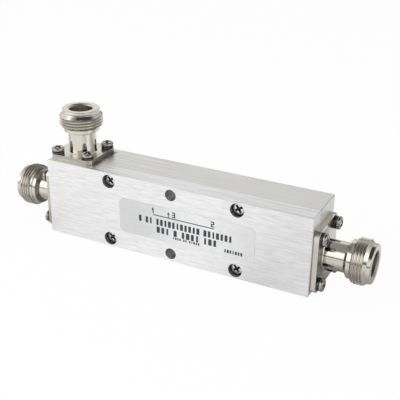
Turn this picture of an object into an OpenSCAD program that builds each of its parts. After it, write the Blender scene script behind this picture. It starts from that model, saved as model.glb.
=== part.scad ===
// Coaxial directional coupler: an aluminium bar with a jack on each end and a coupled port on top.
// X runs from the input to the output, Y from the front cover to the back, Z up from the base.
// The origin is the middle of the base.

/* [Bar] */
// Length of the bar
body_l = 102.6; // [90:0.1:140]
// Depth of the bar, front to back
body_d = 21; // [19:0.1:30]
// Height of the bar
body_h = 29; // [26:0.1:40]
// Thickness of the front cover plate
cover_t = 6.5; // [5.4:0.1:7.5]
// Chamfer on the bar's outer edges
edge_break = 0.25; // [0.1:0.05:0.4]

/* [Fixing holes] */
// Distance of both hole rows from the bar's top and bottom
row_inset = 3.2; // [2.8:0.1:3.6]
// Distance between the two cover screws of a row
cover_span = 49.8; // [40:0.1:70]
// Diameter of the two mounting holes through the bar
mount_d = 4.2; // [3.2:0.1:4.6]

/* [Screws] */
// Thread diameter of the cover and flange screws
screw_d = 3; // [2.5:0.1:3.4]
// Head diameter of the cover screws
cover_head_d = 4.6; // [4.4:0.1:5.4]
// Head height of the cover screws
cover_head_h = 1.9; // [1.5:0.1:2.4]
// Depth of the cover screws' heads below the front face
head_sink = 1.4; // [0.4:0.1:1.8]
// Length of the cover screws under the head
cover_screw_l = 12; // [8:0.5:14]
// Head diameter of the flange screws
flange_head_d = 4.6; // [4.4:0.1:5.4]
// Head height of the flange screws
flange_head_h = 1.6; // [1.4:0.1:2.4]
// Length of the flange screws under the head
flange_screw_l = 7; // [6:0.5:8]
// Rise of the domed top on every screw head
head_dome = 0.45; // [0.2:0.05:0.7]
// Width of the arms of the cross recess
recess_w = 0.8; // [0.5:0.1:1]
// Length of the arms of the cross recess, tip to tip
recess_l = 3.1; // [2:0.1:3.4]
// Depth of the cross recess
recess_deep = 1; // [0.6:0.1:1.1]
// Outer diameter of the lock washers
washer_d = 4.5; // [4.2:0.1:5.4]
// Thickness of the lock washers
washer_t = 0.8; // [0.5:0.1:1.2]
// Width of the split in the lock washers
washer_split = 0.5; // [0.3:0.1:0.8]

/* [Jacks] */
// Height of the input and output axes above the base
main_z = 12.3; // [11.6:0.1:13]
// Distance of the coupled port's axis from the input end
coupled_inset = 8.8; // [8.6:0.1:14]
// Thickness of the flanges
flange_t = 1.9; // [1.5:0.1:3]
// Corner cut of the flanges
flange_corner = 1.5; // [0.5:0.1:1.8]
// Width of the input and output flanges, front to back
end_flange_w = 18.8; // [18:0.1:20]
// Height of the input and output flanges
end_flange_h = 22.6; // [21:0.1:23.2]
// Screw spacing of the input and output flanges, front to back
end_pitch_w = 13.9; // [13:0.1:15]
// Screw spacing of the input and output flanges, up and down
end_pitch_h = 16.6; // [15:0.1:17]
// Side of the coupled port's flange
top_flange = 17.5; // [16.8:0.1:19]
// Screw spacing of the coupled port's flange
top_pitch = 12.9; // [12:0.1:13.2]
// Diameter of the neck between flange and collar
neck_d = 10.2; // [9.8:0.1:11.4]
// Length of the neck
neck_l = 7.2; // [6:0.1:9]
// Diameter of the collar behind the thread
collar_d = 13.2; // [12:0.1:13.6]
// Length of the collar with its cone
collar_l = 2.5; // [1.8:0.1:3.5]
// Length of the cone between neck and collar
cone_l = 1.1; // [0.6:0.1:1.6]
// Outer diameter of the coupling thread
thread_d = 15.75; // [15.4:0.01:16.2]
// Length of the coupling thread
thread_l = 4.2; // [3.5:0.1:6]
// Chamfer at the rear of the coupling thread
thread_break = 0.85; // [0.2:0.05:1]
// Length of the cone between thread and nose
shoulder_l = 1.2; // [0.6:0.1:2]
// Diameter of the plain nose
nose_d = 13.6; // [12.6:0.1:14.5]
// Length of the plain nose
nose_l = 1.3; // [0.8:0.1:2]
// Diameter of the socket mouth
mouth_d = 8.4; // [8:0.1:8.8]
// Depth of the socket mouth, from the rim to the insulator
mouth_l = 8.7; // [7:0.1:9.5]
// Width of the lead-in cone at the rim of the mouth
mouth_break = 0.5; // [0.2:0.05:0.6]
// Depth of the lead-in cone at the rim of the mouth
mouth_lead = 0.5; // [0.4:0.1:1.2]
// Chamfer at the rim of the nose
nose_break = 0.25; // [0.1:0.05:0.4]

/* [Inner conductors] */
// Diameter of the insulator's rear part
bead_d = 7; // [6:0.1:7.4]
// Length of the insulator's front collar
bead_head_l = 2.5; // [1.5:0.1:3.5]
// Reach of the insulator behind the flange
bead_tail_l = 1.5; // [0.5:0.1:2]
// Diameter of the centre contacts' sockets
contact_d = 3.04; // [2.7:0.02:3.4]
// Depth of the contacts' tips below the rim
contact_recess = 4.8; // [4.4:0.1:5.4]
// Bore of the contacts' sockets
contact_bore = 1.65; // [1.4:0.05:1.8]
// Length of the slots and bore in the contacts' sockets
contact_slot_l = 3.4; // [2:0.1:3.8]
// Width of the slots in the contacts' sockets
contact_slot_w = 0.35; // [0.2:0.05:0.5]
// Diameter of the contacts' stems in the insulators
stem_d = 2.2; // [1.9:0.1:2.6]
// Diameter of the contacts' tails in the lines
tail_d = 1.6; // [1.2:0.1:1.8]
// Length of the input and output contacts' tails
tail_l = 5; // [3:0.1:8]
// Width of the square line channel
channel_w = 8; // [7.6:0.1:9]
// Diameter of the main line
main_d = 3.7; // [3:0.1:4.2]
// Distance between the axes of the two lines
line_gap = 6; // [5.2:0.1:6.6]
// Diameter of the coupled line
coupled_d = 3; // [2.6:0.1:3.4]
// Length of the coupled line past the coupled port's axis
coupled_l = 50; // [40:0.5:60]
// Reach of the coupled line behind the coupled port's axis
coupled_back = 2.4; // [1.8:0.1:3]
// Height of the coupled line's channel
coupled_channel_h = 5; // [4.6:0.1:5.6]
// Thickness of the spacers along the lines
spacer_l = 4; // [2:0.1:6]
// Distance of the spacers from the ends of the coupled stretch
spacer_inset = 12; // [9:0.5:16]

/* [Load] */
// Length of the load with its caps
load_l = 8; // [6:0.1:12]
// Diameter of the load's ceramic rod
load_d = 2.4; // [2:0.1:2.8]
// Length of each end cap
cap_l = 2; // [1.4:0.1:2.6]
// Wall of the end caps
cap_wall = 0.3; // [0.2:0.05:0.5]
// Length of the grounding post along the bar
post_l = 4.4; // [4:0.1:6]
// Depth of the grounding post, from the back of the channel
post_d = 6; // [5:0.1:6.4]
// Thread diameter of the post's screw
post_screw_d = 2; // [1.6:0.1:2.2]
// Head diameter of the post's screw
post_head_d = 3.6; // [3.2:0.1:3.9]
// Head height of the post's screw
post_head_h = 1.2; // [1:0.1:1.4]
// Length of the arms of the post screw's cross recess, tip to tip
post_recess_l = 2.2; // [1.6:0.1:2.6]
// Depth of the post screw's cross recess
post_recess_deep = 0.6; // [0.4:0.1:0.8]
// Reach of the post's screw into the back wall
post_screw_reach = 4; // [2:0.1:4.4]

/* [Label] */
// Length of the label
label_l = 52.4; // [40:0.1:60]
// Height of the label
label_h = 13.3; // [10:0.1:15]
// Corner radius of the label
label_r = 2; // [0.5:0.1:4]
// Thickness of the label
label_t = 0.15; // [0.1:0.05:0.3]
// Distance of the label's middle from the bar's middle, towards the output
label_x = 5.6; // [0:0.1:12]
// Height of the label's middle above the base
label_z = 14.1; // [13:0.1:16]

/* [Fits] */
// Clearance all round between pieces that slide together
slide_clear = 0.05; // [0.02:0.01:0.1]
// Clearance all round between a screw and its plain hole or counterbore
hole_clear = 0.2; // [0.1:0.05:0.3]
// Spare depth of a tapped hole past the screw's tip
tap_spare = 0.6; // [0.3:0.1:1]

/* [Hidden] */
$fn = 64;
cut_over = 1;

// Planes of the bar
front_y = -body_d / 2;
split_y = front_y + cover_t;
channel_back = channel_w / 2;
channel_front = min(-channel_w / 2, split_y);
row_zs = [row_inset, body_h - row_inset];

// Stations of a jack, measured from its flange's back face
collar_s = flange_t + neck_l;
thread_s = collar_s + collar_l;
shoulder_s = thread_s + thread_l;
nose_s = shoulder_s + shoulder_l;
rim_s = nose_s + nose_l;
bead_front_s = rim_s - mouth_l;
seat_s = bead_front_s - bead_head_l;
tip_s = rim_s - contact_recess;

// Flange sizes and screw spacings of the jacks, along a jack's own first and second axis
end_flange = [end_flange_h, end_flange_w];
end_pitch = [end_pitch_h, end_pitch_w];
top_flange_size = [top_flange, top_flange];
top_pitch_size = [top_pitch, top_pitch];

// Places of the lines
port_x = -body_l / 2 + coupled_inset;
coupled_z = main_z + line_gap;
coupled_end_x = port_x + coupled_l;
load_end_x = coupled_end_x + load_l;
cavity_end_x = load_end_x + post_l;
post_x = load_end_x + post_l / 2;
cavity_top_z = coupled_z + coupled_channel_h / 2;
main_floor_z = main_z - channel_w / 2;
spacer_xs = [port_x + spacer_inset, coupled_end_x - spacer_inset];
coupled_tail_l = body_h - bead_tail_l - coupled_z + coupled_d / 2;

// Holes that screws and tails go into
plain_hole_d = screw_d + 2 * hole_clear;
tapped_d = screw_d + 2 * slide_clear;
tail_hole_d = tail_d + 2 * slide_clear;
counterbore_d = cover_head_d + 2 * hole_clear;
counterbore_deep = head_sink + cover_head_h;
flange_reach = flange_screw_l - washer_t - flange_t;
cap_d = load_d + 2 * slide_clear + 2 * cap_wall;

// Shared shapes

module box(low, high) {
    translate(low) cube(high - low);
}

// A rectangle with its corners cut at 45 degrees
module cut_rectangle(size_a, size_b, corner) {
    half_a = size_a / 2;
    half_b = size_b / 2;
    polygon([
        [half_a - corner, -half_b], [half_a, -half_b + corner], [half_a, half_b - corner],
        [half_a - corner, half_b], [corner - half_a, half_b], [-half_a, half_b - corner],
        [-half_a, corner - half_b], [corner - half_a, -half_b]
    ]);
}

// The whole bar, with all its outer edges broken
module bar() {
    translate([0, 0, body_h / 2]) intersection() {
        linear_extrude(body_h, center = true) cut_rectangle(body_l, body_d, edge_break);
        rotate([90, 0, 0]) linear_extrude(body_d, center = true) cut_rectangle(body_l, body_h, edge_break);
        rotate([0, 90, 0]) linear_extrude(body_l, center = true) cut_rectangle(body_h, body_d, edge_break);
    }
}

// Lays a shape that points up so that it points to the back, at a place in the length and height
module from_front(x, y, z) {
    translate([x, y, z]) rotate([-90, 0, 0]) children();
}

module at_input() {
    translate([-body_l / 2, 0, main_z]) rotate([0, -90, 0]) children();
}

module at_output() {
    translate([body_l / 2, 0, main_z]) rotate([0, 90, 0]) children();
}

module at_coupled() {
    translate([port_x, 0, body_h]) children();
}

module at_corners(pitch) {
    for (x = [-1, 1], y = [-1, 1])
        translate([x * pitch[0] / 2, y * pitch[1] / 2, 0]) children();
}

module at_cover_screws() {
    for (x = [-1, 1], z = row_zs)
        from_front(x * cover_span / 2, front_y, z) children();
}

// A screw whose head sits on z = 0 and whose shank points down
module screw(shank_d, shank_l, head_d, head_h, cross_l, cross_deep) {
    dome_r = (head_d * head_d / 4 + head_dome * head_dome) / (2 * head_dome);
    difference() {
        union() {
            intersection() {
                cylinder(d = head_d, h = head_h);
                translate([0, 0, head_h - dome_r]) sphere(r = dome_r);
            }
            translate([0, 0, -shank_l]) cylinder(d = shank_d, h = shank_l + head_h / 2);
        }
        for (turn = [0, 90])
            rotate(turn) translate([-cross_l / 2, -recess_w / 2, head_h - cross_deep])
                cube([cross_l, recess_w, cross_deep + cut_over]);
    }
}

module split_washer() {
    difference() {
        cylinder(d = washer_d, h = washer_t);
        translate([0, 0, -cut_over]) cylinder(d = plain_hole_d, h = washer_t + 2 * cut_over);
        translate([0, -washer_split / 2, -cut_over])
            cube([washer_d, washer_split, washer_t + 2 * cut_over]);
    }
}

// Pieces of a jack, standing on z = 0

module jack_shell(size, pitch) {
    bore_d = bead_d + 2 * slide_clear;
    difference() {
        union() {
            linear_extrude(flange_t) cut_rectangle(size[0], size[1], flange_corner);
            rotate_extrude() polygon([
                [0, 0], [neck_d / 2, 0], [neck_d / 2, collar_s], [collar_d / 2, collar_s + cone_l],
                [collar_d / 2, thread_s],
                [thread_d / 2 - thread_break, thread_s], [thread_d / 2, thread_s + thread_break],
                [thread_d / 2, shoulder_s], [nose_d / 2, nose_s], [nose_d / 2, rim_s - nose_break],
                [nose_d / 2 - nose_break, rim_s], [0, rim_s]
            ]);
        }
        rotate_extrude() polygon([
            [0, -cut_over], [bore_d / 2, -cut_over], [bore_d / 2, seat_s], [mouth_d / 2, seat_s],
            [mouth_d / 2, rim_s - mouth_lead], [mouth_d / 2 + mouth_break, rim_s],
            [mouth_d / 2 + mouth_break, rim_s + cut_over], [0, rim_s + cut_over]
        ]);
        at_corners(pitch) translate([0, 0, -cut_over])
            cylinder(d = plain_hole_d, h = flange_t + 2 * cut_over);
    }
}

module jack_insulator() {
    hole_d = stem_d + 2 * slide_clear;
    rotate_extrude() polygon([
        [hole_d / 2, -bead_tail_l], [bead_d / 2, -bead_tail_l], [bead_d / 2, seat_s],
        [mouth_d / 2 - slide_clear, seat_s], [mouth_d / 2 - slide_clear, bead_front_s],
        [hole_d / 2, bead_front_s]
    ]);
}

module jack_contact(tail) {
    difference() {
        rotate_extrude() polygon([
            [0, -bead_tail_l - tail], [tail_d / 2, -bead_tail_l - tail], [tail_d / 2, -bead_tail_l],
            [stem_d / 2, -bead_tail_l], [stem_d / 2, bead_front_s], [contact_d / 2, bead_front_s],
            [contact_d / 2, tip_s], [0, tip_s]
        ]);
        translate([0, 0, tip_s - contact_slot_l]) {
            cylinder(d = contact_bore, h = contact_slot_l + cut_over);
            for (turn = [0, 90])
                rotate(turn) translate([-contact_d, -contact_slot_w / 2, 0])
                    cube([2 * contact_d, contact_slot_w, contact_slot_l + cut_over]);
        }
    }
}

module jack_screws(pitch) {
    at_corners(pitch) translate([0, 0, flange_t + washer_t])
        screw(screw_d, flange_screw_l, flange_head_d, flange_head_h, recess_l, recess_deep);
}

module jack_washers(pitch) {
    at_corners(pitch) translate([0, 0, flange_t]) split_washer();
}

module jack_taps(pitch) {
    deep = flange_reach + tap_spare;
    at_corners(pitch) translate([0, 0, -deep]) cylinder(d = tapped_d, h = deep + cut_over);
}

// Cuts that both halves of the bar share

module line_cavity() {
    half_l = body_l / 2 + cut_over;
    left_x = port_x - channel_w / 2;
    box([-half_l, channel_front, main_floor_z], [half_l, channel_back, main_z + channel_w / 2]);
    box([left_x, channel_front, main_z], [cavity_end_x, channel_back, cavity_top_z]);
    box([left_x, channel_front, main_z], [port_x + channel_w / 2, channel_back, body_h + cut_over]);
}

module mounting_holes() {
    for (z = row_zs)
        from_front(0, front_y - cut_over, z) cylinder(d = mount_d, h = body_d + 2 * cut_over);
}

module flange_taps() {
    at_input() jack_taps(end_pitch);
    at_output() jack_taps(end_pitch);
    at_coupled() jack_taps(top_pitch_size);
}

// The pieces

module housing() {
    tap_deep = counterbore_deep + cover_screw_l + tap_spare;
    color("gainsboro") difference() {
        intersection() {
            bar();
            box([-body_l, split_y, -cut_over], [body_l, body_d, body_h + cut_over]);
        }
        line_cavity();
        mounting_holes();
        flange_taps();
        at_cover_screws() cylinder(d = tapped_d, h = tap_deep);
        from_front(post_x, channel_back - cut_over, coupled_z)
            cylinder(d = post_screw_d + 2 * slide_clear, h = cut_over + post_screw_reach + tap_spare);
    }
}

module cover() {
    color("whitesmoke") difference() {
        intersection() {
            bar();
            box([-body_l, -body_d, -cut_over], [body_l, split_y, body_h + cut_over]);
        }
        line_cavity();
        mounting_holes();
        flange_taps();
        at_cover_screws() translate([0, 0, -cut_over]) {
            cylinder(d = counterbore_d, h = cut_over + counterbore_deep);
            cylinder(d = plain_hole_d, h = cut_over + cover_t + cut_over);
        }
    }
}

module cover_screws() {
    color("dimgray") at_cover_screws() translate([0, 0, counterbore_deep]) rotate([180, 0, 0])
        screw(screw_d, cover_screw_l, cover_head_d, cover_head_h, recess_l, recess_deep);
}

module label() {
    half_l = label_l / 2 - label_r;
    half_h = label_h / 2 - label_r;
    color("silver") from_front(label_x, front_y - label_t, label_z) linear_extrude(label_t) {
        square([label_l, 2 * half_h], center = true);
        square([2 * half_l, label_h], center = true);
        for (x = [-half_l, half_l], y = [-half_h, half_h])
            translate([x, y]) circle(r = label_r);
    }
}

module input_shell() {
    color("tan") at_input() jack_shell(end_flange, end_pitch);
}

module input_insulator() {
    color("white") at_input() jack_insulator();
}

module input_contact() {
    color("gold") at_input() jack_contact(tail_l);
}

module input_screws() {
    color("gray") at_input() jack_screws(end_pitch);
}

module input_washers() {
    color("darkgray") at_input() jack_washers(end_pitch);
}

module output_shell() {
    color("tan") at_output() jack_shell(end_flange, end_pitch);
}

module output_insulator() {
    color("white") at_output() jack_insulator();
}

module output_contact() {
    color("gold") at_output() jack_contact(tail_l);
}

module output_screws() {
    color("gray") at_output() jack_screws(end_pitch);
}

module output_washers() {
    color("darkgray") at_output() jack_washers(end_pitch);
}

module coupled_shell() {
    color("tan") at_coupled() jack_shell(top_flange_size, top_pitch_size);
}

module coupled_insulator() {
    color("white") at_coupled() jack_insulator();
}

module coupled_contact() {
    color("gold") at_coupled() jack_contact(coupled_tail_l);
}

module coupled_screws() {
    color("gray") at_coupled() jack_screws(top_pitch_size);
}

module coupled_washers() {
    color("darkgray") at_coupled() jack_washers(top_pitch_size);
}

// A rod between the rear faces of the end insulators, drilled for both contacts' tails
module main_line() {
    line_l = body_l - 2 * bead_tail_l;
    hole_l = tail_l + tap_spare;
    color("gold") translate([0, 0, main_z]) rotate([0, 90, 0]) difference() {
        cylinder(d = main_d, h = line_l, center = true);
        for (end = [-1, 1])
            translate([0, 0, end * line_l / 2]) cylinder(d = tail_hole_d, h = 2 * hole_l, center = true);
    }
}

// A rod above the main line, drilled across for the coupled contact's tail
module coupled_line() {
    color("gold") translate([port_x, 0, coupled_z]) difference() {
        translate([-coupled_back, 0, 0]) rotate([0, 90, 0])
            cylinder(d = coupled_d, h = coupled_back + coupled_l);
        cylinder(d = tail_hole_d, h = 2 * coupled_d, center = true);
    }
}

module line_spacers() {
    low = [-spacer_l / 2, channel_front + slide_clear, main_floor_z + slide_clear];
    high = [spacer_l / 2, channel_back - slide_clear, cavity_top_z - slide_clear];
    color("ivory") for (x = spacer_xs)
        translate([x, 0, 0]) difference() {
            box(low, high);
            translate([0, 0, main_z]) rotate([0, 90, 0])
                cylinder(d = main_d + 2 * slide_clear, h = 2 * spacer_l, center = true);
            translate([0, 0, coupled_z]) rotate([0, 90, 0])
                cylinder(d = coupled_d + 2 * slide_clear, h = 2 * spacer_l, center = true);
        }
}

module load_resistor() {
    color("ghostwhite") translate([coupled_end_x + cap_wall, 0, coupled_z]) rotate([0, 90, 0])
        cylinder(d = load_d, h = load_l - 2 * cap_wall);
}

module load_cap() {
    difference() {
        cylinder(d = cap_d, h = cap_l);
        translate([0, 0, cap_wall]) cylinder(d = load_d + 2 * slide_clear, h = cap_l);
    }
}

module load_caps() {
    color("silver") {
        translate([coupled_end_x, 0, coupled_z]) rotate([0, 90, 0]) load_cap();
        translate([load_end_x, 0, coupled_z]) rotate([0, -90, 0]) load_cap();
    }
}

module load_post() {
    half_h = coupled_channel_h / 2 - slide_clear;
    color("goldenrod") difference() {
        box(
            [load_end_x, channel_back - post_d, coupled_z - half_h],
            [cavity_end_x, channel_back, coupled_z + half_h]
        );
        from_front(post_x, channel_back - post_d - cut_over, coupled_z)
            cylinder(d = post_screw_d + 2 * hole_clear, h = post_d + 2 * cut_over);
    }
}

module load_screw() {
    shank_l = post_d + post_screw_reach;
    color("gray") from_front(post_x, channel_back - post_d, coupled_z) rotate([180, 0, 0])
        screw(post_screw_d, shank_l, post_head_d, post_head_h, post_recess_l, post_recess_deep);
}

housing();
cover();
cover_screws();
label();
input_shell();
input_insulator();
input_contact();
input_screws();
input_washers();
output_shell();
output_insulator();
output_contact();
output_screws();
output_washers();
coupled_shell();
coupled_insulator();
coupled_contact();
coupled_screws();
coupled_washers();
main_line();
coupled_line();
line_spacers();
load_resistor();
load_caps();
load_post();
load_screw();
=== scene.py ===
"""Coaxial directional coupler: the looks of the bar, the jacks, the screws and the label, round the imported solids."""
from math import atan, atan2, cos, degrees, hypot, pi, radians, sin, tan, tau

import bmesh
import bpy
from bpy.props import FloatProperty, FloatVectorProperty, IntProperty, PointerProperty
from mathutils import Matrix, Vector


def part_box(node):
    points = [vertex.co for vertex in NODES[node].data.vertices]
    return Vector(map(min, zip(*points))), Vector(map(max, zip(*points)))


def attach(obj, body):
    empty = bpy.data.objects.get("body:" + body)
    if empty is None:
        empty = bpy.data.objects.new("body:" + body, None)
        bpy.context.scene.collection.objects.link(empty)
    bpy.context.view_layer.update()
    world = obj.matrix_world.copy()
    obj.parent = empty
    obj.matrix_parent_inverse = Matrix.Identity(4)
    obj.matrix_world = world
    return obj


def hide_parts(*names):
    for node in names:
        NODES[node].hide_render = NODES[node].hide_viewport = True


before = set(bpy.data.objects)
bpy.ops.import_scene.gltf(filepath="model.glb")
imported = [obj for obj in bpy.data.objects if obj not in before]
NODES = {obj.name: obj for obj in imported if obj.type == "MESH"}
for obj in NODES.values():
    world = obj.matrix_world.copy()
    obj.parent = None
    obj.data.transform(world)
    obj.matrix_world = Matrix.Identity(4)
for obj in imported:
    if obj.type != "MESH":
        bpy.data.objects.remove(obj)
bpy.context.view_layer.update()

bl_info = {
    "name": "Directional Coupler",
    "version": (1, 0, 0),
    "blender": (4, 5, 0),
    "location": "View3D > Sidebar > Coupler",
    "description": "Dresses a coaxial directional coupler with threaded jacks, screws and brushed metal",
    "category": "Object",
}

MM = 0.001
# A hundredth of a millimetre, the measure of broken edges and of the rings that hold them
HAIR = 0.01 * MM
# Points nearer than this are one
WELD = 1e-7
FACING_FRONT = Matrix.Rotation(pi / 2, 4, "X")

JACKS = ("input", "output", "coupled")
CORNERS = [(x, y) for x in (-1, 1) for y in (-1, 1)]
# Where the front groove of a jack's thread starts, round its axis
THREAD_STARTS = {"input": radians(298), "output": radians(242), "coupled": radians(297)}
# How much later than the CAD's the cone behind a jack's collar begins
CONE_LATE = {"coupled": 0.45 * MM}
# Painted shade on that cone, in the thread's roots together with dirt, in the mouth, along the jack's upper side,
# on the front half of its flange's face, round the flange's screws and on its sides, the sides counted from the corner
# between first axis and front
SHADE_AND_TARNISH = {
    "input": {"cone": 1.0, "roots": 0.85, "upper": 0.85, "screws": {}, "sides": {7: 0.2}},
    "output": {
        "cone": 0.2, "roots": 0.4, "mouth": 0.7, "face": 1.0, "screws": {(-1, -1): 1.0, (1, -1): 0.3},
        "sides": {6: 0.75},
    },
    "coupled": {"roots": 0.85, "screws": {(1, -1): 0.8}, "sides": {0: 0.5, 1: 0.8, 7: 0.5}},
}
# Where the painted shade along the upper side comes in and goes out, in degrees round the jack's axis
UPPER_RISE, UPPER_FALL = (-100, -60), (38, 12)
# How far forward of the axis the painted shade on the face is full, as a share of the neck's radius
FACE_FULL = 0.625
HOLE_STEPS = 32
# Painted shade on the outer edges and sides of the screws' heads
HEAD_EDGE_SHADE = {"flange": 0.4, "cover": 0.15}
# How the flange screws and their washers are turned: the first one, from screw to screw and from jack to jack
FLANGE_TURNS = (-3.75, 0.8, 1.7)
WASHER_TURNS = (0.0, 1.3, 1.0)
# Base colours of the painted shade along the flanges, of the painted shade and tarnish on the plating,
# and of the painted shade in the screws' recesses, on their edges and under their heads
FLANGE_SHADE_TONE = (0.14, 0.13, 0.12)
SHADE_AND_TARNISH_TONE = (0.1, 0.088, 0.07)
SCREW_SHADE_TONE = (0.035, 0.032, 0.03)

# The camera's sensor in millimetres, the floor, and the lamp: its size, what it lights, from which way and how far
SENSOR = 36
FLOOR_RINGS, FLOOR_Z = (0.06, 0.2, 0.6, 2.0), -10 * HAIR
KEY_SIZE, KEY_AIM, KEY_WAY, KEY_DISTANCE = (0.46, 0.4), (0, 0, 0.015), (-0.46, -0.72, 0.52), 0.5
# Windows of the room: where they begin and end round the vertical and in height, and how bright they are
WINDOWS = (
    ((-1.3, -0.95, -0.4, -0.05), (0.16, 0.3, 0.72, 0.84), 1.0),
    ((0.95, 1.15, 1.6, 1.8), (0.16, 0.28, 0.55, 0.68), 0.9),
)

# Strokes of the three port numbers on a cell of 1 by 2
DIGITS = {
    1: [((0.5, 0), (0.5, 2)), ((0.1, 1.5), (0.5, 2))],
    2: [((0, 2), (1, 2)), ((1, 2), (1, 1)), ((1, 1), (0, 1)), ((0, 1), (0, 0)), ((0, 0), (1, 0))],
    3: [((0, 2), (1, 2)), ((1, 2), (1, 0)), ((0, 1), (1, 1)), ((0, 0), (1, 0))],
}
# Where the port numbers begin along the label, and the ends of the diagram's line, in millimetres
PORTS, LINE_ENDS = {1: -12.8, 2: 10.2, 3: -4.7}, (-12.2, 11)
# Widths of the blocks in the printed rows and of the gap between words, as shares of their step
BLOCKS, WORD_GAP = (0.66, 0.5, 0.72, 0.6, 0.4, 0.7, 0.56), 0.7
# Printed rows: ends and height in millimetres, size setting and share of it, blocks of each word and the first block
ROWS = (
    (-18.4, 18.1, 0.5, "large", 1, (1, 2, 11, 7), 0),
    (-11.3, 12.5, -2.48, "large", 1, (3, 1, 4, 3), 2),
    (-4.7, 5.9, -4.32, "small", 1, (4, 2, 5), 4),
    (15, 22, -4.2, "small", 1.4, (7,), 1),
)


def size_of(node):
    low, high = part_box(node)
    return high - low


def middle_of(node):
    low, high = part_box(node)
    return (low + high) / 2


def across(node):
    """Sizes of a jack's piece along the jack's own first and second axis."""
    size = size_of(node)
    return (size.x if node.startswith("coupled") else size.z, size.y)


BAR_LOW, BAR_HIGH = Vector(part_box("cover")[0]), Vector(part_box("housing")[1])
BAR_MIDDLE = Vector((0, 0, BAR_HIGH.z / 2))
FLANGE_SIDES = {jack: across(f"{jack}_shell") for jack in JACKS}
SCREW_SPANS = {jack: across(f"{jack}_screws") for jack in JACKS}
SHELL_LENGTH = size_of("output_shell").x


def jack_frame(jack):
    """The matrix that lays a jack built along +Z onto its side of the bar."""
    middle = middle_of(f"{jack}_shell")
    if jack == "coupled":
        return Matrix.Translation((middle.x, 0, BAR_HIGH.z))
    end, turn = (BAR_LOW.x, -pi / 2) if jack == "input" else (BAR_HIGH.x, pi / 2)
    return Matrix.Translation((end, 0, middle.z)) @ Matrix.Rotation(turn, 4, "Y")


# Settings


def length(name, description, millimetres):
    return FloatProperty(name=name, description=description, default=millimetres * MM, unit="LENGTH", precision=5)


def colour(name, description, default):
    return FloatVectorProperty(
        name=name, description=description, default=default, subtype="COLOR", size=3, min=0, max=1
    )


def share(name, description, default):
    return FloatProperty(name=name, description=description, default=default, subtype="FACTOR", min=0, max=1)


def angle(name, description, turn):
    return FloatProperty(name=name, description=description, default=radians(turn), subtype="ANGLE")


class CouplerJackSettings(bpy.types.PropertyGroup):
    """Sizes of the jacks, measured from the flange's back face"""

    flange_t: length("Flange thickness", "Thickness of the flanges", 1.9)
    flange_corner: length("Flange corner", "Corner cut of the flanges", 1.5)
    flange_break: length("Flange edge", "Width of the broken edges of the flanges", 0.08)
    hole_d: length("Screw hole", "Diameter of the flanges' screw holes", 3.4)
    neck_d: length("Neck", "Diameter of the neck", 10.2)
    neck_fillet: length("Neck fillet", "Radius where the neck meets the flange", 0.4)
    neck_end: length("Neck end", "Where the cone behind the collar begins", 9.1)
    collar_d: length("Collar", "Diameter of the collar behind the thread", 13.2)
    collar_bend: length("Collar fillet", "Radius between the neck and the cone behind the collar", 0.2)
    collar_s: length("Collar start", "Where the cone behind the collar ends", 10.2)
    thread_s: length("Thread start", "Where the thread's rear chamfer begins", 11.6)
    thread_break: length("Thread chamfer", "Chamfer at the rear of the thread", 0.85)
    thread_d: length("Thread", "Outer diameter of the coupling thread", 15.75)
    thread_pitch: length("Thread pitch", "Pitch of the coupling thread", 25.4 / 24)
    thread_depth: length("Thread depth", "Depth of the coupling thread", 0.62)
    groove_s: length("First groove", "Where the thread's front groove lies at its start angle", 15.45)
    shoulder_s: length("Shoulder start", "Where the cone in front of the thread begins", 15.8)
    nose_s: length("Nose start", "Where the plain nose begins", 17)
    nose_d: length("Nose", "Diameter of the plain nose", 13.6)
    nose_break: length("Nose edge", "Width of the rounded edge of the nose", 0.25)
    mouth_d: length("Mouth", "Diameter of the socket mouth", 8.4)
    mouth_break: length("Mouth chamfer", "Width of the lead-in at the rim of the mouth", 0.5)
    mouth_lead: length("Mouth lead-in", "Depth of the lead-in at the rim of the mouth", 0.5)
    seat_s: length("Seat", "Where the insulator's collar sits in the bore", 7.1)
    bore_d: length("Rear bore", "Diameter of the bore behind the seat", 7.1)
    steps: IntProperty(name="Steps", description="Points round a turned surface", default=144, min=48, max=240)


class CouplerScrewSettings(bpy.types.PropertyGroup):
    """Sizes of the screws and the lock washers"""

    shank_d: length("Shank", "Thread diameter of the screws", 3)
    shank_pitch: length("Pitch", "Pitch of the screws' threads", 0.5)
    flange_head_d: length("Flange head", "Head diameter of the flange screws", 4.6)
    flange_head_h: length("Flange head height", "Head height of the flange screws", 1.6)
    flange_screw_l: length("Flange screw", "Length of the flange screws under the head", 7)
    flange_dome: length("Flange dome", "Rise of the flange screws' domed heads", 0.7)
    flange_round: length("Flange head edge", "Radius of the flange screws' outer edge", 0.65)
    cover_head_d: length("Cover head", "Head diameter of the cover screws", 4.6)
    cover_head_h: length("Cover head height", "Head height of the cover screws", 1.9)
    cover_screw_l: length("Cover screw", "Length of the cover screws under the head", 12)
    cover_dome: length("Cover dome", "Rise of the cover screws' domed heads", 0.45)
    cover_round: length("Cover head edge", "Radius of the cover screws' outer edge", 0.5)
    head_sink: length("Head sink", "Depth of the cover screws' heads below the front", 1.4)
    cover_span: length("Cover screw spacing", "Distance between the cover screws of a row", 49.8)
    row_inset: length("Row inset", "Distance of the cover screws from the bar's top and bottom", 3.2)
    cross_l: length("Cross length", "Length of the cross recess, tip to tip", 3.1)
    cross_w: length("Cross width", "Width of the cross recess's arms", 0.85)
    cross_deep: length("Cross depth", "Depth of the cross recess", 1)
    washer_d: length("Washer", "Outer diameter of the lock washers", 4.5)
    washer_bore: length("Washer bore", "Bore of the lock washers", 3.4)
    washer_t: length("Washer thickness", "Thickness of the lock washers", 0.8)
    washer_split: length("Washer split", "Width of the split in the lock washers", 0.5)


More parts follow.
